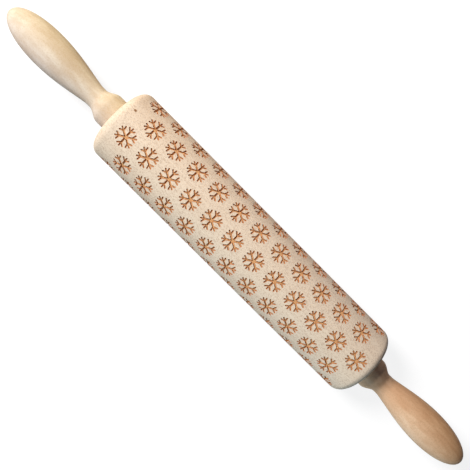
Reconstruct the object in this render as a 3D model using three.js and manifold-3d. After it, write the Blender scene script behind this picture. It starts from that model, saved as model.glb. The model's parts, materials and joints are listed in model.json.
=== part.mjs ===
// A turned wooden rolling pin, engraved with snowflakes, whose barrel runs on two ball bearings.
// A steel axle passes through the barrel, and a handle is screwed on to each of its ends.
// Lengths are millimetres. The axle lies along X, the barrel's middle is the origin, and +Z is up.

import * as THREE from 'three';
import { mergeVertices } from 'three/addons/utils/BufferGeometryUtils.js';
import Module from 'manifold-3d';

const wasm = await Module();
wasm.setup();

// Barrel
const barrelLength = 237;
const barrelRadius = 27;
const rimRadius = 6.2; // rounding where the side meets each end face
const axleBoreGap = 1; // all round the axle's thick middle
const recessDepth = 2; // shallow recess that the handle's foot turns in
const recessGap = 0.75; // between the foot and the recess wall
const recessChamfer = 0.4;

// Snowflakes cut into the barrel, in columns along it. Every other column has one flake fewer
// and lies half a pitch further on.
const flakeColumns = 10;
const flakePitch = 18.71; // between the middles of two flakes in a column
const flakeMargin = 16.6; // from the left end face to the middle of the first flake
const flakeRadius = 7.5; // from a flake's middle to the tip of an arm
const sideProngRadius = 7;
const sideProngAngle = THREE.MathUtils.degToRad(21); // from its arm
const forkRadius = 3.5; // where the side prongs leave the arm
const armWidth = 1.6;
const flakeDepth = 1.1;
const floorReach = 5.2; // how far out an arm keeps its full depth
const firstColumnShift = -0.3; // from the line along the middle of the column's facets
const columnDrift = 3.44; // how far a column leans round the barrel from end to end
const flakeArms = 6;

// Handle, from the barrel's end face outwards
const handleReach = 100.2;
const collarRadius = 11.85;
const collarLand = 9.5; // straight stretch of the collar outside the barrel
const flareLength = 10; // from the collar down to the neck
const neckRadius = 7.9;
const neckLand = 3.5;
const gripRadius = 13.3;
const noseLength = 35; // from the tip to the widest place
const nosePower = 2.1; // superellipse: a little fuller than an ellipse
const shankPower = 1.15; // how the grip tapers from its widest place to the neck
const footGap = 0.6; // running gap between the foot and the recess floor
const footChamfer = 0.5;

// Axle
const journalRadius = 4; // seats the bearings, the nuts and the inserts
const shoulderHeight = 1; // the thick middle that locates both bearings
const axleReach = 60; // how far each end stands out of the barrel
const axleChamfer = 0.8;
const socketGap = 0.25; // round the axle's end in the handle
const socketEndGap = 1;
const drillPointShare = 0.6; // depth of the drill's cone over its radius

// Ball bearing, built outwards from the journal
const bearingWidth = 7;
const bearingInset = 0.4; // how far its outer face lies below the recess floor
const innerWall = 1.95;
const landGap = 3.05; // between the two rings' lands
const outerWall = 1.9;
const ballRadius = 1.984;
const ballCount = 7;
const ballPlay = 0.2; // between a ball and the grooves it runs in
const shieldThickness = 0.3;
const shieldInset = 0.2; // from the ring's face to the shield
const shieldGap = 0.3; // between the shield and the inner ring
const rebateDepth = 0.45; // seat in the outer ring that the shield snaps into
const cageThickness = 2; // radial
const cageBack = 2.7; // the solid side of the crown
const cageFront = 1.3; // the open side, past the balls' middle
const pocketGap = 0.2;

// Fasteners
const washerThickness = 1.2;
const nutHeight = 4;
const nutAcrossFlats = 13;
const nutClearance = 0.7; // round the nut's corners in the handle
const insertRadius = 5.75;
const insertLength = 12;
const insertFlange = 0.6; // wider lip at its open end
const insertLip = 1.2;

// Pieces pressed together, or seated face to face, are drawn this far apart
const seatGap = 0.1;

// Facets round each kind of piece
const handleSides = 32;
const bearingSides = 24;
const rimSteps = 4;
const noseSteps = 9;
const shankSteps = 7;
const flareSteps = 5;
const grooveSteps = 4;
const pocketSides = 12;

// Places along the axle, on the side where X is positive
const endFace = barrelLength / 2;
const recessFloor = endFace - recessDepth;
const pocketFloor = recessFloor - bearingInset - bearingWidth - seatGap;
const bearingMiddle = pocketFloor + seatGap + bearingWidth / 2;
const washerStart = bearingMiddle + bearingWidth / 2 + seatGap;
const nutStart = washerStart + washerThickness + seatGap;
const insertStart = nutStart + nutHeight + seatGap;
const footFace = recessFloor + footGap;
const axleEnd = endFace + axleReach;
const tip = endFace + handleReach;

// Radii that follow from the ones above
const shoulderRadius = journalRadius + shoulderHeight;
const ringBore = journalRadius + seatGap;
const innerLand = ringBore + innerWall;
const outerLand = innerLand + landGap;
const bearingRadius = outerLand + outerWall;
const pitchRadius = (innerLand + outerLand) / 2;
const pocketRadius = bearingRadius + seatGap;
const recessRadius = collarRadius + recessGap;
const nutCornerRadius = nutAcrossFlats / Math.sqrt(3);
const grooveRadius = ballRadius + ballPlay;

// The barrel's facets follow the columns of flakes: three corner lines to a column, one along its
// middle and one on each side, as far off as makes every line's corners equally near three flakes.
const columnWidth = (2 * Math.PI * barrelRadius) / flakeColumns;
const sideLine = (columnWidth - (flakePitch / 2) ** 2 / columnWidth) / 2;

const materials = {
  barrelWood: new THREE.MeshStandardMaterial({ color: 0xe3d5bf, roughness: 0.72, metalness: 0 }),
  handleWood: new THREE.MeshStandardMaterial({ color: 0xeed3a6, roughness: 0.45, metalness: 0 }),
  steel: new THREE.MeshStandardMaterial({ color: 0xb9bcc0, roughness: 0.3, metalness: 1 }),
  bearingSteel: new THREE.MeshStandardMaterial({ color: 0xd4d6d9, roughness: 0.18, metalness: 1 }),
  brass: new THREE.MeshStandardMaterial({ color: 0xc9a24b, roughness: 0.35, metalness: 1 }),
  nylon: new THREE.MeshStandardMaterial({ color: 0xe9e6dc, roughness: 0.6, metalness: 0 }),
};

// Turns a profile of [place along X, radius] round the X axis. A flat side faces down.
function turned(profile, sides) {
  const points = profile.map(([x, radius]) => new THREE.Vector2(radius, x));
  const geometry = new THREE.LatheGeometry(points, sides, Math.PI / sides);
  return geometry.rotateZ(-Math.PI / 2);
}

// Points of a round stretch, from one angle to another about a centre
function arc(centreX, centreRadius, radius, from, to, steps) {
  const points = [];
  for (let i = 0; i <= steps; i++) {
    const angle = from + ((to - from) * i) / steps;
    points.push([centreX + radius * Math.cos(angle), centreRadius + radius * Math.sin(angle)]);
  }
  return points;
}

const mirrored = (profile) => profile.map(([x, radius]) => [-x, radius]).reverse();
const closed = (profile) => [...profile, profile[0]];

function solid(geometry) {
  const bare = geometry.clone();
  bare.deleteAttribute('normal');
  bare.deleteAttribute('uv');
  const merged = mergeVertices(bare);
  return new wasm.Manifold(
    new wasm.Mesh({
      numProp: 3,
      vertProperties: new Float32Array(merged.attributes.position.array),
      triVerts: new Uint32Array(merged.index.array),
    }),
  );
}

function geometryOf(manifold) {
  const mesh = manifold.getMesh();
  const geometry = new THREE.BufferGeometry();
  geometry.setAttribute('position', new THREE.BufferAttribute(mesh.vertProperties, 3));
  geometry.setIndex(new THREE.BufferAttribute(mesh.triVerts, 1));
  geometry.computeVertexNormals();
  return geometry;
}

// A point of the barrel. Its place across is measured round the barrel from its column's middle
// line, and the facet beside the first such line faces straight up.
function onBarrel(column, along, across, radius) {
  const angle = (2 * Math.PI * column) / flakeColumns + (across - sideLine / 2) / barrelRadius;
  return [along, radius * Math.sin(angle), radius * Math.cos(angle)];
}

// How far the faceted surface is from the axle's middle, at a place across a column
function facetRadius(across) {
  const away = Math.abs(across);
  const [near, far] = away < sideLine ? [0, sideLine] : [sideLine, columnWidth - sideLine];
  const middle = (near + far) / 2;
  return (barrelRadius * Math.cos((far - middle) / barrelRadius)) / Math.cos((away - middle) / barrelRadius);
}

// One flake and the six-sided cell of plain wood round it. The arms point to the cell's corners.
// Each of its two ends has a middle too, given by the number of the gap between arms that faces it.
function flakeCell(points, faces, column, middle, corners, endMiddles) {
  const turn = (2 * Math.PI) / flakeArms;
  const shift = firstColumnShift + (columnDrift * middle) / barrelLength;
  const at = (radius, angle, depth) => {
    const along = middle + radius * Math.cos(angle);
    const across = shift + radius * Math.sin(angle);
    return points.push(onBarrel(column, along, across, facetRadius(across) - depth)) - 1;
  };
  const armEdge = Math.asin(armWidth / 2 / forkRadius);
  const floor = at(0, 0, flakeDepth);
  const inner = [];
  const arms = [];
  for (let i = 0; i < flakeArms; i++) {
    const arm = turn * (i + 1 / 2);
    inner.push(at(armWidth / 2 / Math.sin(turn / 2), turn * i, 0));
    arms.push({
      floorEnd: at(floorReach, arm, flakeDepth),
      outline: [
        at(forkRadius, arm - armEdge, 0),
        at(sideProngRadius, arm - sideProngAngle, 0),
        at(flakeRadius, arm, 0),
        at(sideProngRadius, arm + sideProngAngle, 0),
        at(forkRadius, arm + armEdge, 0),
      ],
    });
  }
  for (let i = 0; i < flakeArms; i++) {
    const j = (i + 1) % flakeArms;
    const { floorEnd, outline } = arms[i];
    const [, side, tip, otherSide, fork] = outline;
    const [nextFork, nextSide] = arms[j].outline;
    const walls = [inner[i], ...outline, inner[j]];
    faces.push([floor, inner[i], floorEnd], [floor, floorEnd, inner[j]]);
    for (let k = 0; k < walls.length - 1; k++) faces.push([floorEnd, walls[k], walls[k + 1]]);
    faces.push([side, corners[i], tip], [tip, corners[i], otherSide]);
    faces.push([inner[j], fork, nextFork], [fork, otherSide, nextFork], [otherSide, nextSide, nextFork]);
    const bend = endMiddles[j] ?? corners[i];
    if (bend !== corners[i]) faces.push([otherSide, corners[i], bend]);
    faces.push([otherSide, bend, nextSide], [nextSide, bend, corners[j]]);
  }
}

// The barrel's surface is laid out by the columns, and its rims, recesses and bore carry on the
// columns' corner lines.
function barrel() {
  const points = [];
  const faces = [];
  const quad = (a, b, c, d) => faces.push([a, b, c], [a, c, d]);
  const corners = (column, along, radius) =>
    [-sideLine, 0, sideLine].map((across) => points.push(onBarrel(column, along, across, radius)) - 1);

  const rimStart = endFace - rimRadius;
  const room = barrelLength - flakeMargin - flakeRadius - rimRadius;
  const longColumn = [];
  for (let along = 0; along <= room; along += flakePitch) longColumn.push(flakeMargin + along - endFace);
  const shortColumn = longColumn.slice(1).map((middle) => middle - flakePitch / 2);
  const longEnds = [-rimStart, ...shortColumn, rimStart];
  const columns = [];
  for (let column = 0; column < flakeColumns; column++) {
    const ends = column % 2 ? longColumn : longEnds;
    columns.push(ends.map((along) => corners(column, along, barrelRadius)));
  }
  columns.forEach((lines, column) => {
    const shorter = column % 2;
    const next = columns[(column + 1) % flakeColumns];
    const last = columns[(column + flakeColumns - 1) % flakeColumns];
    (shorter ? shortColumn : longColumn).forEach((middle, i) => {
      const left = lines[i];
      const right = lines[i + 1];
      const beside = i + shorter;
      const cell = [right[2], next[beside][0], left[2], left[0], last[beside][2], right[0]];
      const endMiddles = { 0: right[1], [flakeArms / 2]: left[1] };
      flakeCell(points, faces, column, middle, cell, endMiddles);
    });
  });

  const boreRadius = shoulderRadius + axleBoreGap;
  const end = [
    ...arc(rimStart, barrelRadius - rimRadius, rimRadius, Math.PI / 2, 0, rimSteps).slice(1),
    [endFace, recessRadius + recessChamfer],
    [endFace - recessChamfer, recessRadius],
    [recessFloor, recessRadius],
    [recessFloor, pocketRadius],
    [pocketFloor, pocketRadius],
    [pocketFloor, boreRadius],
  ];
  const row = (along, radius) => columns.flatMap((_, column) => corners(column, along, radius));
  const patternEnd = (along, line) =>
    columns.flatMap((lines, column) => (column % 2 ? corners(column, along, barrelRadius) : lines.at(line)));
  const rightEnd = patternEnd(rimStart, -1);
  const leftEnd = patternEnd(-rimStart, 0);
  const rows = [rightEnd, ...[...end, ...mirrored(end)].map((place) => row(...place)), leftEnd];
  for (let i = 0; i < rows.length - 1; i++) {
    rows[i].forEach((near, j) => {
      const k = (j + 1) % rows[i].length;
      quad(near, rows[i + 1][j], rows[i + 1][k], rows[i][k]);
    });
  }

  // Plain wood past both ends of a shorter column
  function plain(low, high, endRow, first) {
    faces.push([endRow.at(first - 1), high[0], low[0]]);
    quad(low[0], high[0], high[1], low[1]);
    quad(low[1], high[1], high[2], low[2]);
    faces.push([low[2], high[2], endRow[(first + high.length) % endRow.length]]);
  }
  for (let column = 1; column < flakeColumns; column += 2) {
    const first = column * 3;
    plain(leftEnd.slice(first, first + 3), columns[column][0], leftEnd, first);
    plain(columns[column].at(-1), rightEnd.slice(first, first + 3), rightEnd, first);
  }

  const geometry = new THREE.BufferGeometry();
  geometry.setAttribute('position', new THREE.Float32BufferAttribute(points.flat(), 3));
  geometry.setIndex(faces.flat());
  geometry.computeVertexNormals();
  return geometry;
}

function axle() {
  const shoulder = pocketFloor;
  const half = [
    [shoulder - axleChamfer, shoulderRadius],
    [shoulder, shoulderRadius - axleChamfer / 2],
    [shoulder, journalRadius],
    [axleEnd - axleChamfer, journalRadius],
    [axleEnd, journalRadius - axleChamfer],
    [axleEnd, 0],
  ];
  return turned([...mirrored(half), ...half], bearingSides);
}

// Outside of the handle from its foot to its tip
function handleOutline() {
  const collarEnd = endFace + collarLand;
  const neckStart = collarEnd + flareLength;
  const shankStart = neckStart + neckLand;
  const widest = tip - noseLength;
  const points = [
    [footFace, collarRadius - footChamfer],
    [footFace + footChamfer, collarRadius],
  ];
  for (let i = 0; i <= flareSteps; i++) {
    const share = i / flareSteps;
    const fall = share * share * (3 - 2 * share);
    points.push([collarEnd + flareLength * share, collarRadius + (neckRadius - collarRadius) * fall]);
  }
  for (let i = 0; i < shankSteps; i++) {
    const share = i / shankSteps;
    const rise = Math.sin((Math.PI / 2) * share) ** shankPower;
    points.push([shankStart + (widest - shankStart) * share, neckRadius + (gripRadius - neckRadius) * rise]);
  }
  for (let i = 0; i <= noseSteps; i++) {
    const share = Math.sin((Math.PI / 2) * (i / noseSteps));
    const height = (1 - share ** nosePower) ** (1 / nosePower);
    points.push([widest + noseLength * share, gripRadius * height]);
  }
  return points;
}

function handle() {
  const nutSpace = nutCornerRadius + nutClearance;
  const socket = journalRadius + socketGap;
  const insertSeat = insertRadius + seatGap;
  const lipSeat = insertSeat + insertFlange;
  const lipEnd = insertStart + insertLip + seatGap;
  const insertEnd = insertStart + insertLength + seatGap;
  const socketEnd = axleEnd + socketEndGap;
  const inside = [
    [socketEnd + socket * drillPointShare, 0],
    [socketEnd, socket],
    [insertEnd, socket],
    [insertEnd, insertSeat],
    [lipEnd, insertSeat],
    [lipEnd, lipSeat],
    [insertStart, lipSeat],
    [insertStart, nutSpace],
    [footFace, nutSpace],
  ];
  return turned([...inside, ...handleOutline()], handleSides);
}

function threadedInsert() {
  const end = insertStart + insertLength;
  return turned(
    closed([
      [insertStart, ringBore],
      [insertStart, insertRadius + insertFlange],
      [insertStart + insertLip, insertRadius + insertFlange],
      [insertStart + insertLip, insertRadius],
      [end - insertLip, insertRadius],
      [end, insertRadius - insertFlange],
      [end, ringBore],
    ]),
    bearingSides,
  );
}

function lockNut() {
  const hexagon = new THREE.Shape();
  for (let i = 0; i < 6; i++) {
    const angle = (i * Math.PI) / 3;
    const place = [nutCornerRadius * Math.cos(angle), nutCornerRadius * Math.sin(angle)];
    if (i === 0) hexagon.moveTo(...place);
    else hexagon.lineTo(...place);
  }
  hexagon.closePath();
  hexagon.holes.push(new THREE.Path().absarc(0, 0, ringBore, 0, 2 * Math.PI, true));
  const nut = new THREE.ExtrudeGeometry(hexagon, {
    depth: nutHeight,
    bevelEnabled: false,
    curveSegments: bearingSides,
  });
  return nut.rotateY(Math.PI / 2).translate(nutStart, 0, 0);
}

const washer = () =>
  turned(
    closed([
      [washerStart, ringBore],
      [washerStart, innerLand],
      [washerStart + washerThickness, innerLand],
      [washerStart + washerThickness, ringBore],
    ]),
    bearingSides,
  );

// Angle from the ball's middle, across the axle, to where its groove meets a land
const grooveEdge = (land) => Math.asin(Math.abs(land - pitchRadius) / grooveRadius);

function outerRing() {
  const edge = grooveEdge(outerLand);
  const face = bearingWidth / 2;
  const seat = face - shieldInset - shieldThickness - seatGap;
  const half = [
    [seat, outerLand],
    [seat, outerLand + rebateDepth],
    [face, outerLand + rebateDepth],
    [face, bearingRadius],
  ];
  const groove = arc(0, pitchRadius, grooveRadius, Math.PI - edge, edge, grooveSteps);
  const ring = turned(closed([...groove, ...half, ...mirrored(half)]).reverse(), bearingSides);
  return ring.translate(bearingMiddle, 0, 0);
}

function innerRing() {
  const edge = grooveEdge(innerLand);
  const face = bearingWidth / 2;
  const groove = arc(0, pitchRadius, grooveRadius, Math.PI + edge, 2 * Math.PI - edge, grooveSteps);
  const profile = [[-face, innerLand], ...groove, [face, innerLand], [face, ringBore], [-face, ringBore]];
  return turned(closed(profile), bearingSides).translate(bearingMiddle, 0, 0);
}

// A shield on the side of the bearing that sign gives
function shield(sign) {
  const outside = bearingWidth / 2 - shieldInset;
  const inside = outside - shieldThickness;
  const rim = outerLand + rebateDepth - seatGap;
  const hole = innerLand + shieldGap;
  const ring = turned(
    closed([
      [inside, hole],
      [inside, rim],
      [outside, rim],
      [outside, hole],
    ]),
    bearingSides,
  );
  if (sign < 0) ring.rotateZ(Math.PI);
  return ring.translate(bearingMiddle, 0, 0);
}

const ballAngle = (i) => (2 * Math.PI * i) / ballCount;

// A crown cage: a ring with a round pocket for each ball, open towards the handle
function cage() {
  const inner = pitchRadius - cageThickness / 2;
  const outer = pitchRadius + cageThickness / 2;
  const ring = turned(
    closed([
      [-cageBack, inner],
      [-cageBack, outer],
      [cageFront, outer],
      [cageFront, inner],
    ]),
    ballCount * 4,
  );
  const pocket = new THREE.CylinderGeometry(
    ballRadius + pocketGap,
    ballRadius + pocketGap,
    2 * outer,
    pocketSides,
  ).translate(0, outer, 0);
  let crown = solid(ring);
  for (let i = 0; i < ballCount; i++) {
    crown = crown.subtract(solid(pocket.clone().rotateX(ballAngle(i))));
  }
  return geometryOf(crown).translate(bearingMiddle, 0, 0);
}

const ball = (i) =>
  new THREE.IcosahedronGeometry(ballRadius, 1)
    .translate(0, pitchRadius, 0)
    .rotateX(ballAngle(i))
    .translate(bearingMiddle, 0, 0);

const pin = new THREE.Group();

function add(parent, name, geometry, material) {
  const mesh = new THREE.Mesh(geometry, material);
  mesh.name = name;
  parent.add(mesh);
}

// Everything at one end of the pin. The left end is the right one turned half round.
function end(side, turn) {
  const group = new THREE.Group();
  group.rotation.z = turn;
  add(group, `handle_${side}`, handle(), materials.handleWood);
  add(group, `threaded_insert_${side}`, threadedInsert(), materials.brass);
  add(group, `lock_nut_${side}`, lockNut(), materials.steel);
  add(group, `spacer_washer_${side}`, washer(), materials.steel);
  add(group, `bearing_outer_ring_${side}`, outerRing(), materials.bearingSteel);
  add(group, `bearing_inner_ring_${side}`, innerRing(), materials.bearingSteel);
  add(group, `bearing_shield_${side}_outside`, shield(1), materials.steel);
  add(group, `bearing_shield_${side}_inside`, shield(-1), materials.steel);
  add(group, `ball_cage_${side}`, cage(), materials.nylon);
  for (let i = 0; i < ballCount; i++) {
    add(group, `ball_${side}_${i + 1}`, ball(i), materials.bearingSteel);
  }
  return group;
}

add(pin, 'barrel', barrel(), materials.barrelWood);
add(pin, 'axle', axle(), materials.steel);
pin.add(end('right', 0), end('left', Math.PI));

export default pin;
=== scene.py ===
"""The looks of a wooden rolling pin with snowflakes engraved all round its barrel.

Lengths are metres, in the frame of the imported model: the axle lies along X, the barrel's middle
is the origin and +Z is up. The barrel's engraving is cut into its mesh as real grooves.
"""

import json
import math

import bmesh
import bpy
from mathutils import Matrix, Vector
from mathutils.geometry import delaunay_2d_cdt

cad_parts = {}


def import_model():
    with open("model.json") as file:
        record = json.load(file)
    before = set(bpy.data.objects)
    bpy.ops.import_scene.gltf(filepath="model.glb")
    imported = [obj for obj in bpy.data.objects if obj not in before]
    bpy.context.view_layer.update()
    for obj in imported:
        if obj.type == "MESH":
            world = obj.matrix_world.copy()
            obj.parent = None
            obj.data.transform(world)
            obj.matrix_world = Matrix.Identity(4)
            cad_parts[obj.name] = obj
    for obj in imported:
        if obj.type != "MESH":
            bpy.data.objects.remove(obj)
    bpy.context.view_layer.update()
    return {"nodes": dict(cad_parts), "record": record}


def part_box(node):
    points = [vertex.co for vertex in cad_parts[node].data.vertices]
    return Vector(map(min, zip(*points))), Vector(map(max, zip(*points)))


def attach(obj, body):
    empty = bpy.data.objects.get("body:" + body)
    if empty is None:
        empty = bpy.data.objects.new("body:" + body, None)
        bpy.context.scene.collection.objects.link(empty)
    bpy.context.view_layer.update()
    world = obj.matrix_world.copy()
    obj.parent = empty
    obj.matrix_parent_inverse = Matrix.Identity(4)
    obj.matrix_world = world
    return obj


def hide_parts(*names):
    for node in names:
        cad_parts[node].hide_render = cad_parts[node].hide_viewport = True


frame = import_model()

MM = 0.001
SIDES = {"right": 0.0, "left": math.pi}  # the left end is the right one turned half round

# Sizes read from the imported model
_, barrel_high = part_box("barrel")
ring_low, ring_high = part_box("bearing_outer_ring_right")
handle_low, handle_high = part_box("handle_right")
_, nut_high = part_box("lock_nut_right")
insert_low, insert_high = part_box("threaded_insert_right")
axle_low, axle_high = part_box("axle")

END_FACE = barrel_high.x
BARREL_RADIUS = barrel_high.z

# Barrel
RIM_RADIUS = 6.2 * MM
RECESS_DEPTH = 2 * MM
RECESS_RADIUS = 12.6 * MM
RECESS_CHAMFER = 0.4 * MM
SEAT_GAP = 0.1 * MM
BORE_RADIUS = 6 * MM
RIM_STEPS = 8

# Engraving, laid out flat: X along the barrel, the other way round it
COLUMNS = 10
FLAKES_IN_LONG_COLUMN = 12
PITCH = 18.71 * MM
FIRST_FLAKE = -101.9 * MM
FIRST_COLUMN_ANGLE = math.radians(-6.9)  # from straight up, towards +Y
SKEW = math.radians(0.0308) / MM  # the columns lean a little round the barrel
ARMS = 6
FLAKE_RADIUS = 7.5 * MM
FORK_RADIUS = 4.2 * MM  # where the side prongs leave the arm
SIDE_TIP_RADIUS = 7.0 * MM
SIDE_TIP_ANGLE = math.radians(19.5)
ARM_WIDTH = 1.4 * MM
PRONG_WIDTH = 1.1 * MM
WALL_RUN = 0.3 * MM  # how far a wall slopes in from the edge of its groove to the floor
ARM_DEPTH = 1.1 * MM
PRONG_DEPTH = 0.75 * MM
GROOVE_END_STEPS = 4
CELLS_ALONG_TILE = 8  # even, so that a column half a pitch along still meets its neighbours
CELLS_ACROSS_TILE = 9
CLEAR_OF_GROOVE = 0.5 * MM

# Handle
COLLAR_RADIUS = 11.85 * MM
COLLAR_LAND = 9.5 * MM
FLARE_LENGTH = 10 * MM
NECK_RADIUS = 7.9 * MM
NECK_LAND = 3.5 * MM
GRIP_RADIUS = 13.3 * MM
NOSE_LENGTH = 35 * MM
NOSE_POWER = 2.1
SHANK_POWER = 1.15
FOOT_CHAMFER = 0.5 * MM
NUT_CLEARANCE = 0.7 * MM
SOCKET_END_GAP = 1 * MM
HANDLE_SIDES = 96
FLARE_STEPS = 14
SHANK_STEPS = 26
NOSE_STEPS = 24

SHARP_ANGLE = math.radians(28)  # edges sharper than this keep a crisp line
WELD_DISTANCE = 0.001 * MM

# How many layers of ever finer noise a figure has
DETAIL = 3.0
FINE_DETAIL = 4.0
COARSE_DETAIL = 2.0

# Where most values of a noise lie
NOISE_LOW = 0.3
NOISE_HIGH = 0.7

# Figure of the woods: sizes of its grains are given along X, Y and Z
WAVE_REPEAT = math.pi / 10  # from one band of a wave texture to the next at scale 1
RING_SPACING = 3.06 * MM
RING_WANDER = 1.5
RING_WANDER_SCALE = 1.2
PAINTED_SHADE_SPREAD = 28 * MM  # over which a handle's painted side shade fades in, either way from its middle
MOTTLE = (45 * MM, 17 * MM, 17 * MM)
CLOUD = (11 * MM, 4 * MM, 4 * MM)
STREAK = (36 * MM, 1.6 * MM, 1.6 * MM)
SPECK = (1.1 * MM, 0.8 * MM, 0.8 * MM)
SPECK_RELIEF_SHARE = 0.5  # of the wood's relief; the streaks give the rest
ROUGHNESS_SPREAD = 0.06  # either way from a wood's own roughness
KNOT_EDGE = (1.1 * MM, 1.1 * MM, 1.1 * MM)
KNOT_FADE_SHARE = 0.6  # of a knot's half size, over which it fades out

# For each part of a wood's figure, the values of its pattern between which it comes in and its colour
FIGURE = {
    "rings": (0.2, 1.0, "deep"),
    "mottle": (0.42, 0.68, "deep"),
    "clouds": (0.4, 0.7, "deep"),
    "streaks": (0.45, 0.75, "deep"),
    "flecks": (0.45, 0.7, "fleck"),
}

# Burnt wood in the grooves; all colours are in linear light
CHAR = (2 * MM, 1.4 * MM, 1.4 * MM)
CHAR_START = 0.4  # the values of its noise between which the darker char comes in
CHAR_FULL = 0.75
CHAR_SHARE = 0.4
CHAR_FLOOR = (0.62, 0.35, 0.16, 1)
# dark brown at the lip: partly burnt wood, partly painted shade that deepens the groove walls
CHAR_LIP_AND_SHADE = (0.38, 0.125, 0.042, 1)
CHAR_DARK = (0.30, 0.09, 0.03, 1)
CHAR_ROUGHNESS = 0.85
CHAR_SPECULAR = 0.05
CHAR_RELIEF = 0.05 * MM

# Turned metals; METALS gives each one's colour, least roughness and grain of its tool lines
METAL_TONE = (11 * MM, 11 * MM, 11 * MM)
METAL_DARK_SHARE = 0.8
METAL_DULLER = 0.12  # how much rougher its roughest spots are
TOOL_LINES = (0.4 * MM, 11 * MM, 11 * MM)
POLISHING_LINES = (0.3 * MM, 11 * MM, 11 * MM)
TOOL_RELIEF = 0.005 * MM
METALS = {
    "steel": ((0.62, 0.63, 0.65, 1), 0.3, TOOL_LINES),
    "bearing_steel": ((0.72, 0.73, 0.75, 1), 0.14, POLISHING_LINES),
    "brass": ((0.72, 0.52, 0.2, 1), 0.28, TOOL_LINES),
}

# Nylon
NYLON_TONE = (8 * MM, 8 * MM, 8 * MM)
NYLON_GRAIN = (0.4 * MM, 0.4 * MM, 0.4 * MM)
NYLON_PALE = (0.80, 0.78, 0.72, 1)
NYLON_DEEP = (0.74, 0.71, 0.63, 1)
NYLON_SMOOTHEST = 0.5
NYLON_ROUGHEST = 0.65
NYLON_RELIEF = 0.005 * MM

# A small knot near the barrel's left-hand end
BARREL_KNOT_X = -109.6 * MM
BARREL_KNOT_ANGLE = math.radians(25.5)  # from straight up, towards +Y
BARREL_KNOT = (
    BARREL_KNOT_X,
    BARREL_RADIUS * math.sin(BARREL_KNOT_ANGLE),
    BARREL_RADIUS * math.cos(BARREL_KNOT_ANGLE),
)

# The figure of each wood: its pale and deep colours, where its painted side shade begins, which way that
# lies and its tint (painted warm light and shade on one side of a handle), the middle of its growth rings,
# how much each feature shows, and its knots as place on the surface, half size each way, how much they
# show and colour
WOODS = {
    "barrel_wood": {
        "pale": (0.73, 0.612, 0.475, 1),
        "deep": (0.61, 0.482, 0.355, 1),
        "painted_side_shade": None,
        "fleck": (0.44, 0.32, 0.23, 1),
        "ring_centre": (0, 38 * MM, 31 * MM),
        "shares": {"rings": 0.2, "mottle": 0.35, "clouds": 0.1, "streaks": 0.2, "flecks": 0.6},
        "roughness": 0.72,
        "specular": 0.06,
        "relief": 0.03 * MM,
        "knots": [(BARREL_KNOT, (1.4 * MM, 1 * MM, 1 * MM), 1.0, (0.24, 0.12, 0.05, 1))],
    },
    "handle_wood_left": {
        "pale": (0.658, 0.58, 0.556, 1),
        "deep": (0.528, 0.414, 0.346, 1),
        # painted light and shade: the left handle's +Y side tinted warmer
        "painted_side_shade": ((-170 * MM, 0, 0), (0, 1, 0), (1, 0.98, 0.626, 1)),
        "fleck": (0.42, 0.27, 0.14, 1),
        "ring_centre": (0, 26 * MM, -20 * MM),
        "shares": {"rings": 0.2, "mottle": 0.7, "clouds": 0.45, "streaks": 0.15, "flecks": 0.25},
        "roughness": 0.5,
        "specular": 0.05,
        "relief": 0.01 * MM,
        "knots": [],
    },
    "handle_wood_right": {
        "pale": (0.87, 0.638, 0.444, 1),
        "deep": (0.685, 0.425, 0.256, 1),
        # painted shade: the right handle darker and warmer towards +Y and towards its tip
        "painted_side_shade": ((174 * MM, 0, 0), (0.22, 0.97, 0), (0.59, 0.43, 0.26, 1)),
        "fleck": (0.42, 0.27, 0.14, 1),
        "ring_centre": (50 * MM, -23 * MM, 24 * MM),
        "shares": {"rings": 0.2, "mottle": 0.7, "clouds": 0.45, "streaks": 0.15, "flecks": 0.25},
        "roughness": 0.5,
        "specular": 0.05,
        "relief": 0.01 * MM,
        "knots": [
            ((142.5 * MM, -3.3 * MM, 8.9 * MM), (1.6 * MM, 0.7 * MM, 0.7 * MM), 0.5, (0.3, 0.17, 0.08, 1)),
        ],
    },
}

# Floor and world
FLOOR_SIZE = 3000 * MM
FLOOR_FOR_LIGHT = (0.25, 0.25, 0.25, 1)
FLOOR_AS_SEEN = (0.2, 0.2, 0.2, 1)  # under a white glow, so that shadows still show on it
FLOOR_GLOW = 0.84
WORLD_STRENGTH = 0.005
WHITE = (1, 1, 1, 1)

# Lamps: place, the point they face and width in millimetres, power in watts and colour
LAMPS = {
    "key": ((-900, 0, 900), (40, 0, 0), 450, 24.1, (1.0, 0.97, 0.95)),
    "far_side": ((20, 280, 140), (0, 0, 0), 200, 0.16, (0.81, 0.8, 1.0)),
    "warm_left": ((-230, 260, 70), (-160, 0, 0), 150, 0.17, (1.0, 0.53, 0.0)),
    "near_right": ((200, -450, 120), (150, 0, 0), 200, 1.03, (0.65, 0.85, 1.0)),
}

# Camera, found from the photograph's outline and lattice of flakes
CAMERA_PLACE = Vector((-31.2, 0.5, 371.7)) * MM
CAMERA_TILT = math.radians(-3.535)
CAMERA_TURN = math.radians(45.06)
LENS = 41.6  # millimetres, on a sensor 36 mm wide
SENSOR = 36


def link(obj):
    bpy.context.scene.collection.objects.link(obj)
    return obj


def mesh_piece(name, points, faces, slots, materials):
    """An object from points and faces; slots gives each face's place in materials."""
    mesh = bpy.data.meshes.new(name)
    mesh.from_pydata(points, [], faces)
    mesh.polygons.foreach_set("material_index", slots)
    mesh.polygons.foreach_set("use_smooth", [True] * len(faces))
    for material in materials:
        mesh.materials.append(material)
    shape = bmesh.new()
    shape.from_mesh(mesh)
    bmesh.ops.remove_doubles(shape, verts=shape.verts, dist=WELD_DISTANCE)
    for edge in shape.edges:
        if len(edge.link_faces) == 2 and edge.calc_face_angle() > SHARP_ANGLE:
            edge.smooth = False
    shape.to_mesh(mesh)
    shape.free()
    return link(bpy.data.objects.new(name, mesh))


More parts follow.
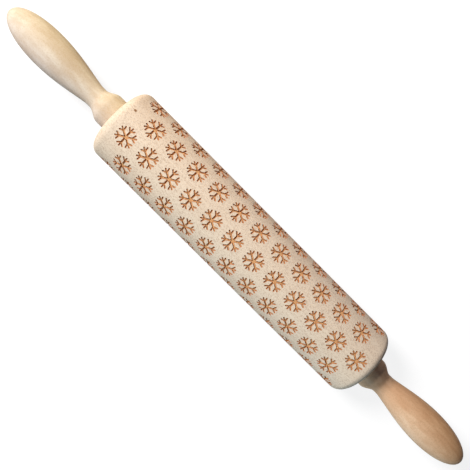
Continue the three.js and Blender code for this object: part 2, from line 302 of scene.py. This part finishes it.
def arc(centre_x, centre_radius, radius, start, end, steps):
    """Points (x, radius) of a round stretch about a centre."""
    points = []
    for i in range(steps + 1):
        angle = start + (end - start) * i / steps
        points.append((centre_x + radius * math.cos(angle), centre_radius + radius * math.sin(angle)))
    return points


def turned(profile, sides, angle_at):
    """Points and faces of a profile (x, radius) turned round the X axis, its outside running to +X."""
    points = []
    faces = []
    for x, radius in profile:
        for i in range(sides):
            angle = angle_at(x) + 2 * math.pi * i / sides
            points.append((x, radius * math.sin(angle), radius * math.cos(angle)))
    for row in range(len(profile) - 1):
        for i in range(sides):
            j = (i + 1) % sides
            near = row * sides
            far = near + sides
            faces.append((near + i, far + i, far + j, near + j))
    return points, faces


# Engraved barrel


def flake_strokes():
    """One snowflake's grooves in the flat pattern: start, end, half the width and depth of each."""
    reach = PRONG_WIDTH / 2
    strokes = []
    for i in range(ARMS):
        angle = math.pi / 2 + 2 * math.pi * i / ARMS
        along = Vector((math.cos(angle), math.sin(angle)))
        fork = along * FORK_RADIUS
        strokes.append((Vector((0, 0)), fork, ARM_WIDTH / 2, ARM_DEPTH))
        strokes.append((fork, along * (FLAKE_RADIUS - reach), reach, PRONG_DEPTH))
        for lean in (-SIDE_TIP_ANGLE, SIDE_TIP_ANGLE):
            tip = Vector((math.cos(angle + lean), math.sin(angle + lean)))
            strokes.append((fork, tip * (SIDE_TIP_RADIUS - reach), reach, PRONG_DEPTH))
    return strokes


def stroke_outline(start, end, half_width):
    """The edge of a groove from start to end, square at its start and round at its end."""
    along = (end - start).normalized()
    across = Vector((-along.y, along.x))
    points = [start - across * half_width]
    for i in range(GROOVE_END_STEPS + 1):
        angle = math.pi * i / GROOVE_END_STEPS - math.pi / 2
        points.append(end + (along * math.cos(angle) + across * math.sin(angle)) * half_width)
    points.append(start + across * half_width)
    return points


def inside_groove(point, start, end, half_width):
    """How far a point lies inside a groove's edge; less than zero outside it."""
    along = end - start
    share = max(0.0, min(1.0, (point - start).dot(along) / along.length_squared))
    return half_width - (point - start - along * share).length


def groove_depth(point, strokes):
    """How deep the engraving is at a point: a flat floor between two steep walls."""
    deepest = 0.0
    for start, end, half_width, depth in strokes:
        inside = inside_groove(point, start, end, half_width)
        deepest = max(deepest, depth * min(1.0, inside / WALL_RUN))
    return deepest


def tile_grid(length, width, cells_along):
    """Grid points of a plain rectangle about the origin, row by row along X."""
    grid = []
    for i in range(cells_along + 1):
        x = length * (i / cells_along - 1 / 2)
        row = []
        for j in range(CELLS_ACROSS_TILE + 1):
            row.append(Vector((x, width * (j / CELLS_ACROSS_TILE - 1 / 2))))
        grid.append(row)
    return grid


def flake_tile(width):
    """One flat tile with a snowflake: its points with their depths, and its triangles."""
    strokes = flake_strokes()
    grid = tile_grid(PITCH, width, CELLS_ALONG_TILE)
    points = []
    edges = []

    def add_loop(loop):
        first = len(points)
        points.extend(loop)
        count = len(loop)
        edges.extend((first + i, first + (i + 1) % count) for i in range(count))

    bottom = [row[0] for row in grid]
    top = [row[-1] for row in grid]
    add_loop(bottom + grid[-1][1:-1] + top[::-1] + grid[0][1:-1][::-1])
    for start, end, half_width, _ in strokes:
        add_loop(stroke_outline(start, end, half_width))
        add_loop(stroke_outline(start, end, half_width - WALL_RUN))
    for row in grid[1:-1]:
        for point in row[1:-1]:
            if max(inside_groove(point, *stroke[:3]) for stroke in strokes) < -CLEAR_OF_GROOVE:
                points.append(point)
    cut = delaunay_2d_cdt(points, edges, [], 0, WELD_DISTANCE)
    depths = [groove_depth(point, strokes) for point in cut[0]]
    triangles = []
    burnt = []
    for face in cut[2]:
        middle = sum((cut[0][i] for i in face), Vector((0, 0))) / len(face)
        triangles.append(tuple(face))
        burnt.append(int(groove_depth(middle, strokes) > 0))
    return cut[0], depths, triangles, burnt


def plain_half_tile(width):
    """Half a tile without a snowflake, which fills the ends of the shorter columns."""
    grid = tile_grid(PITCH / 2, width, CELLS_ALONG_TILE // 2)
    points = [point for row in grid for point in row]
    row_length = CELLS_ACROSS_TILE + 1
    faces = []
    for i in range(len(grid) - 1):
        for j in range(CELLS_ACROSS_TILE):
            near = i * row_length + j
            far = near + row_length
            faces.append((near, far, far + 1, near + 1))
    return points, [0.0] * len(points), faces, [0] * len(faces)


def column_angle(x):
    return FIRST_COLUMN_ANGLE + SKEW * x


def surface_radius(x):
    """The barrel's radius at x, with its rounded rims."""
    into_rim = max(0.0, abs(x) - (END_FACE - RIM_RADIUS))
    return BARREL_RADIUS - RIM_RADIUS + math.sqrt(RIM_RADIUS**2 - into_rim**2)


def barrel_piece(materials):
    width = 2 * math.pi * BARREL_RADIUS / COLUMNS
    flake = flake_tile(width)
    plain = plain_half_tile(width)
    points = []
    faces = []
    slots = []

    def lay(tile, middle, column):
        """Wraps a flat tile on to the barrel."""
        flat, depths, tile_faces, burnt = tile
        first = len(points)
        for point, depth in zip(flat, depths):
            x = middle + point.x
            angle = column_angle(x) + 2 * math.pi * column / COLUMNS + point.y / BARREL_RADIUS
            radius = surface_radius(x) - depth
            points.append((x, radius * math.sin(angle), radius * math.cos(angle)))
        faces.extend(tuple(first + i for i in face) for face in tile_faces)
        slots.extend(burnt)

    last_flake = FIRST_FLAKE + PITCH * (FLAKES_IN_LONG_COLUMN - 1)
    for column in range(COLUMNS):
        shorter = column % 2
        for i in range(FLAKES_IN_LONG_COLUMN - shorter):
            lay(flake, FIRST_FLAKE + PITCH * (i + shorter / 2), column)
        if shorter:
            lay(plain, FIRST_FLAKE - PITCH / 4, column)
            lay(plain, last_flake + PITCH / 4, column)

    pocket_radius = ring_high.z + SEAT_GAP
    pocket_floor = ring_low.x - SEAT_GAP
    recess_floor = END_FACE - RECESS_DEPTH
    rim = arc(END_FACE - RIM_RADIUS, BARREL_RADIUS - RIM_RADIUS, RIM_RADIUS, math.pi / 2, 0, RIM_STEPS)
    bore = [
        (END_FACE, RECESS_RADIUS + RECESS_CHAMFER),
        (END_FACE - RECESS_CHAMFER, RECESS_RADIUS),
        (recess_floor, RECESS_RADIUS),
        (recess_floor, pocket_radius),
        (pocket_floor, pocket_radius),
        (pocket_floor, BORE_RADIUS),
    ]
    pattern_start = FIRST_FLAKE - PITCH / 2
    pattern_end = last_flake + PITCH / 2
    profile = [(pattern_end, surface_radius(pattern_end))]
    profile += [point for point in rim if point[0] > pattern_end] + bore
    profile += [(-x, radius) for x, radius in reversed(bore)]
    profile += [(-x, radius) for x, radius in reversed(rim) if -x < pattern_start]
    profile.append((pattern_start, surface_radius(pattern_start)))
    sides = COLUMNS * CELLS_ACROSS_TILE
    half_column = math.pi / COLUMNS
    turned_points, turned_faces = turned(profile, sides, lambda x: column_angle(x) - half_column)
    first = len(points)
    points.extend(turned_points)
    faces.extend(tuple(first + i for i in face) for face in turned_faces)
    slots.extend([0] * len(turned_faces))
    return mesh_piece("engraved_barrel", points, faces, slots, materials)


# Handles


def eased(share):
    """A share that leaves 0 and reaches 1 without a bend."""
    return share * share * (3 - 2 * share)


def handle_outline():
    """The outside of the right handle, from its foot to its tip."""
    foot = handle_low.x
    tip = handle_high.x
    collar_end = END_FACE + COLLAR_LAND
    neck_start = collar_end + FLARE_LENGTH
    shank_start = neck_start + NECK_LAND
    widest = tip - NOSE_LENGTH
    points = [(foot, COLLAR_RADIUS - FOOT_CHAMFER), (foot + FOOT_CHAMFER, COLLAR_RADIUS)]
    for i in range(FLARE_STEPS + 1):
        share = i / FLARE_STEPS
        radius = COLLAR_RADIUS + (NECK_RADIUS - COLLAR_RADIUS) * eased(share)
        points.append((collar_end + FLARE_LENGTH * share, radius))
    for i in range(SHANK_STEPS):
        share = i / SHANK_STEPS
        rise = math.sin(math.pi / 2 * share) ** SHANK_POWER
        radius = NECK_RADIUS + (GRIP_RADIUS - NECK_RADIUS) * rise
        points.append((shank_start + (widest - shank_start) * share, radius))
    for i in range(NOSE_STEPS):
        share = math.sin(math.pi / 2 * i / NOSE_STEPS)
        height = (1 - share**NOSE_POWER) ** (1 / NOSE_POWER)
        points.append((widest + NOSE_LENGTH * share, GRIP_RADIUS * height))
    points.append((tip, 0))
    return points


def handle_inside():
    """The hole in the right handle, from its far end to the foot."""
    socket = -axle_low.z
    foot = handle_low.x
    nut_space_end = insert_low.x
    nut_space = nut_high.z + NUT_CLEARANCE
    insert_seat = insert_high.z + SEAT_GAP
    socket_end = axle_high.x + SOCKET_END_GAP
    return [
        (socket_end, 0),
        (socket_end, socket),
        (insert_high.x + SEAT_GAP, socket),
        (insert_high.x + SEAT_GAP, insert_seat),
        (nut_space_end, insert_seat),
        (nut_space_end, nut_space),
        (foot, nut_space),
    ]


def handle_piece(side, material):
    profile = handle_inside() + handle_outline()
    points, faces = turned(profile, HANDLE_SIDES, lambda x: 0.0)
    turn = Matrix.Rotation(SIDES[side], 3, "Z")
    points = [turn @ Vector(point) for point in points]
    return mesh_piece(f"turned_handle_{side}", points, faces, [0] * len(faces), [material])


# Materials


def new_material(name):
    material = bpy.data.materials.new(name)
    material.use_nodes = True
    return material, material.node_tree, material.node_tree.nodes["Principled BSDF"]


def put(tree, kind, inputs=None, **settings):
    """Adds a node; each input is set to a value, or linked where it is given a socket."""
    node = tree.nodes.new(kind)
    for key, value in settings.items():
        setattr(node, key, value)
    for key, value in (inputs or {}).items():
        if isinstance(value, bpy.types.NodeSocket):
            tree.links.new(value, node.inputs[key])
        else:
            node.inputs[key].default_value = value
    return node


def placed(tree, size=(1, 1, 1), middle=(0, 0, 0)):
    """Object coordinates measured from a middle, in steps of the given size along each axis."""
    here = put(tree, "ShaderNodeTexCoord").outputs["Object"]
    away = put(tree, "ShaderNodeVectorMath", {0: here, 1: middle}, operation="SUBTRACT").outputs[0]
    return put(tree, "ShaderNodeVectorMath", {0: away, 1: size}, operation="DIVIDE").outputs[0]


def noise(tree, grain, detail=DETAIL):
    """Noise whose grains have the given size along each axis."""
    inputs = {"Vector": placed(tree, grain), "Scale": 1.0, "Detail": detail}
    return put(tree, "ShaderNodeTexNoise", inputs).outputs["Fac"]


def between(tree, value, low, high, low_out=0.0, high_out=1.0):
    """Maps a value from one range to another, smoothly and without overshoot."""
    inputs = {"Value": value, "From Min": low, "From Max": high, "To Min": low_out, "To Max": high_out}
    return put(tree, "ShaderNodeMapRange", inputs, interpolation_type="SMOOTHSTEP").outputs[0]


def mixed(tree, share, one, other, blend="MIX"):
    """Blends two colours; a mix node has its colours at inputs 6 and 7 and at output 2."""
    inputs = {0: share, 6: one, 7: other}
    return put(tree, "ShaderNodeMix", inputs, data_type="RGBA", blend_type=blend).outputs[2]


def bumped(tree, shader, height, relief):
    bump = put(tree, "ShaderNodeBump", {"Height": height, "Distance": relief, "Strength": 1.0})
    tree.links.new(bump.outputs[0], shader.inputs["Normal"])


def growth_rings(tree, centre):
    """Growth rings about a line along X through a centre, seen as soft bands on a turned surface."""
    inputs = {
        "Vector": placed(tree, middle=centre),
        "Scale": WAVE_REPEAT / RING_SPACING,
        "Distortion": RING_WANDER,
        "Detail": COARSE_DETAIL,
        "Detail Scale": RING_WANDER_SCALE,
    }
    wave = put(tree, "ShaderNodeTexWave", inputs, wave_type="RINGS", rings_direction="X")
    return wave.outputs["Fac"]


def painted_shade_share(tree, middle, way):
    """How much of the painted side shade each point takes: 0 on one side of its middle and 1 on the other.
    """
    here = placed(tree, middle=middle)
    along = put(tree, "ShaderNodeVectorMath", {0: here, 1: way}, operation="DOT_PRODUCT").outputs["Value"]
    return between(tree, along, -PAINTED_SHADE_SPREAD, PAINTED_SHADE_SPREAD)


def knot(tree, place, half_size, share):
    """The share of a knot that shows at each point: a small spot with a ragged edge."""
    from_place = placed(tree, half_size, place)
    away = put(tree, "ShaderNodeVectorMath", {0: from_place}, operation="LENGTH").outputs["Value"]
    edge = noise(tree, KNOT_EDGE)
    ragged = put(tree, "ShaderNodeMath", {0: away, 1: edge}, operation="ADD").outputs[0]
    return between(tree, ragged, 1.0, 1.0 + KNOT_FADE_SHARE, share, 0.0)


def wood(name):
    """Fine-grained pale wood with growth rings, mottling, clouds, streaks, flecks and knots, and on a
    handle painted warm light and shade on one side.
    """
    look = WOODS[name]
    material, tree, shader = new_material(name)
    noises = {
        "rings": growth_rings(tree, look["ring_centre"]),
        "mottle": noise(tree, MOTTLE),
        "clouds": noise(tree, CLOUD),
        "streaks": noise(tree, STREAK, FINE_DETAIL),
        "flecks": noise(tree, SPECK, COARSE_DETAIL),
    }
    colour = look["pale"]
    for part, (start, full, tone) in FIGURE.items():
        shown = between(tree, noises[part], start, full, 0.0, look["shares"][part])
        colour = mixed(tree, shown, colour, look[tone])
    # painted light and shade: one side of a handle tinted warmer and darker, as the light falls on it
    if look["painted_side_shade"]:
        middle, way, tint = look["painted_side_shade"]
        colour = mixed(tree, painted_shade_share(tree, middle, way), colour, tint, "MULTIPLY")
    for place, half_size, share, tone in look["knots"]:
        colour = mixed(tree, knot(tree, place, half_size, share), colour, tone)
    tree.links.new(colour, shader.inputs["Base Color"])
    smoothest = look["roughness"] - ROUGHNESS_SPREAD
    roughest = look["roughness"] + ROUGHNESS_SPREAD
    roughness = between(tree, noises["mottle"], NOISE_LOW, NOISE_HIGH, smoothest, roughest)
    tree.links.new(roughness, shader.inputs["Roughness"])
    shader.inputs["Specular IOR Level"].default_value = look["specular"]
    height = mixed(tree, SPECK_RELIEF_SHARE, noises["streaks"], noises["flecks"])
    bumped(tree, shader, height, look["relief"])
    return material


def burnt_wood():
    """The inside of a groove: golden tan on the floor and dark brown towards the lip, partly burnt wood
    and partly painted shade on the walls.
    """
    material, tree, shader = new_material("burnt_wood")
    here = placed(tree)
    flat = put(tree, "ShaderNodeVectorMath", {0: here, 1: (0, 1, 1)}, operation="MULTIPLY").outputs[0]
    radius = put(tree, "ShaderNodeVectorMath", {0: flat}, operation="LENGTH").outputs["Value"]
    height = between(tree, radius, BARREL_RADIUS - ARM_DEPTH, BARREL_RADIUS)
    char = noise(tree, CHAR)
    # tan floor to dark lip: partly burnt wood, partly painted shade on the walls
    colour = mixed(tree, height, CHAR_FLOOR, CHAR_LIP_AND_SHADE)
    darker = between(tree, char, CHAR_START, CHAR_FULL, 0.0, CHAR_SHARE)
    colour = mixed(tree, darker, colour, CHAR_DARK)
    tree.links.new(colour, shader.inputs["Base Color"])
    shader.inputs["Roughness"].default_value = CHAR_ROUGHNESS
    shader.inputs["Specular IOR Level"].default_value = CHAR_SPECULAR
    bumped(tree, shader, char, CHAR_RELIEF)
    return material


def metal(name):
    """Turned metal: fine tool lines round the axle and a faint change of tone."""
    colour, roughness, lines = METALS[name]
    material, tree, shader = new_material(name)
    tone = noise(tree, METAL_TONE)
    turning = noise(tree, lines, COARSE_DETAIL)
    darker = tuple(part * METAL_DARK_SHARE for part in colour[:3]) + (1,)
    toned = mixed(tree, between(tree, tone, NOISE_LOW, NOISE_HIGH), colour, darker)
    tree.links.new(toned, shader.inputs["Base Color"])
    dull = between(tree, turning, NOISE_LOW, NOISE_HIGH, roughness, roughness + METAL_DULLER)
    tree.links.new(dull, shader.inputs["Roughness"])
    shader.inputs["Metallic"].default_value = 1.0
    bumped(tree, shader, turning, TOOL_RELIEF)
    return material


def nylon():
    """Natural moulded nylon with a fine matt grain."""
    material, tree, shader = new_material("nylon")
    grain = noise(tree, NYLON_GRAIN)
    tone = noise(tree, NYLON_TONE)
    colour = mixed(tree, between(tree, tone, NOISE_LOW, NOISE_HIGH), NYLON_PALE, NYLON_DEEP)
    tree.links.new(colour, shader.inputs["Base Color"])
    roughness = between(tree, grain, NOISE_LOW, NOISE_HIGH, NYLON_SMOOTHEST, NYLON_ROUGHEST)
    tree.links.new(roughness, shader.inputs["Roughness"])
    bumped(tree, shader, grain, NYLON_RELIEF)
    return material


# Floor, lights and camera


def seen_by_camera(tree):
    """1 for what the camera sees, straight or in a reflection, and 0 for light on its way."""
    path = put(tree, "ShaderNodeLightPath").outputs
    seen = path["Is Camera Ray"]
    for kind in ("Is Glossy Ray", "Is Transmission Ray"):
        seen = put(tree, "ShaderNodeMath", {0: seen, 1: path[kind]}, operation="MAXIMUM").outputs[0]
    return seen


def floor():
    """The floor: white with its shadows to the camera and in reflections, and plain grey to the light."""
    half = FLOOR_SIZE / 2
    low = -BARREL_RADIUS
    corners = [(-half, -half, low), (half, -half, low), (half, half, low), (-half, half, low)]
    mesh = bpy.data.meshes.new("floor")
    mesh.from_pydata(corners, [], [(0, 1, 2, 3)])
    material = bpy.data.materials.new("floor")
    material.use_nodes = True
    tree = material.node_tree
    tree.nodes.clear()
    plain = put(tree, "ShaderNodeBsdfDiffuse", {"Color": FLOOR_FOR_LIGHT})
    shaded = put(tree, "ShaderNodeBsdfDiffuse", {"Color": FLOOR_AS_SEEN})
    glow = put(tree, "ShaderNodeEmission", {"Color": WHITE, "Strength": FLOOR_GLOW})
    white = put(tree, "ShaderNodeAddShader", {0: shaded.outputs[0], 1: glow.outputs[0]})
    choice = {0: seen_by_camera(tree), 1: plain.outputs[0], 2: white.outputs[0]}
    either = put(tree, "ShaderNodeMixShader", choice)
    put(tree, "ShaderNodeOutputMaterial", {"Surface": either.outputs[0]})
    mesh.materials.append(material)
    link(bpy.data.objects.new("floor", mesh))


def lights():
    for name, (place, aim, width, power, colour) in LAMPS.items():
        data = bpy.data.lights.new(name, "AREA")
        data.shape = "DISK"
        data.size = width * MM
        data.energy = power
        data.color = colour
        obj = link(bpy.data.objects.new(name, data))
        obj.location = Vector(place) * MM
        obj.rotation_euler = (Vector(aim) - Vector(place)).to_track_quat("-Z", "Y").to_euler()


def world():
    """Nearly dark, so that the lamps make the light, but white to the camera and in reflections."""
    studio = bpy.data.worlds.new("studio")
    studio.use_nodes = True
    tree = studio.node_tree
    tree.nodes.clear()
    dim = put(tree, "ShaderNodeBackground", {"Color": WHITE, "Strength": WORLD_STRENGTH})
    white = put(tree, "ShaderNodeBackground", {"Color": WHITE, "Strength": 1.0})
    choice = {0: seen_by_camera(tree), 1: dim.outputs[0], 2: white.outputs[0]}
    either = put(tree, "ShaderNodeMixShader", choice)
    put(tree, "ShaderNodeOutputWorld", {"Surface": either.outputs[0]})
    bpy.context.scene.world = studio


def camera():
    data = bpy.data.cameras.new("camera")
    data.sensor_width = SENSOR
    data.lens = LENS
    obj = link(bpy.data.objects.new("camera", data))
    turn = Matrix.Rotation(CAMERA_TILT, 4, "Y") @ Matrix.Rotation(CAMERA_TURN, 4, "Z")
    obj.matrix_world = Matrix.Translation(CAMERA_PLACE) @ turn
    bpy.context.scene.camera = obj


camera()
lights()
world()
floor()

barrel = barrel_piece([wood("barrel_wood"), burnt_wood()])
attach(barrel, "roller")
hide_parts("barrel")
for side in SIDES:
    handle = handle_piece(side, wood(f"handle_wood_{side}"))
    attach(handle, "handle_axle")
    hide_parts(f"handle_{side}")

finishes = {name: metal(name) for name in METALS}
finishes["nylon"] = nylon()
for piece in frame["record"]["subparts"]:
    if piece["material_slot"] in finishes:
        node_mesh = frame["nodes"][piece["node"]].data
        node_mesh.materials.clear()
        node_mesh.materials.append(finishes[piece["material_slot"]])

bpy.context.scene.view_settings.view_transform = "Standard"
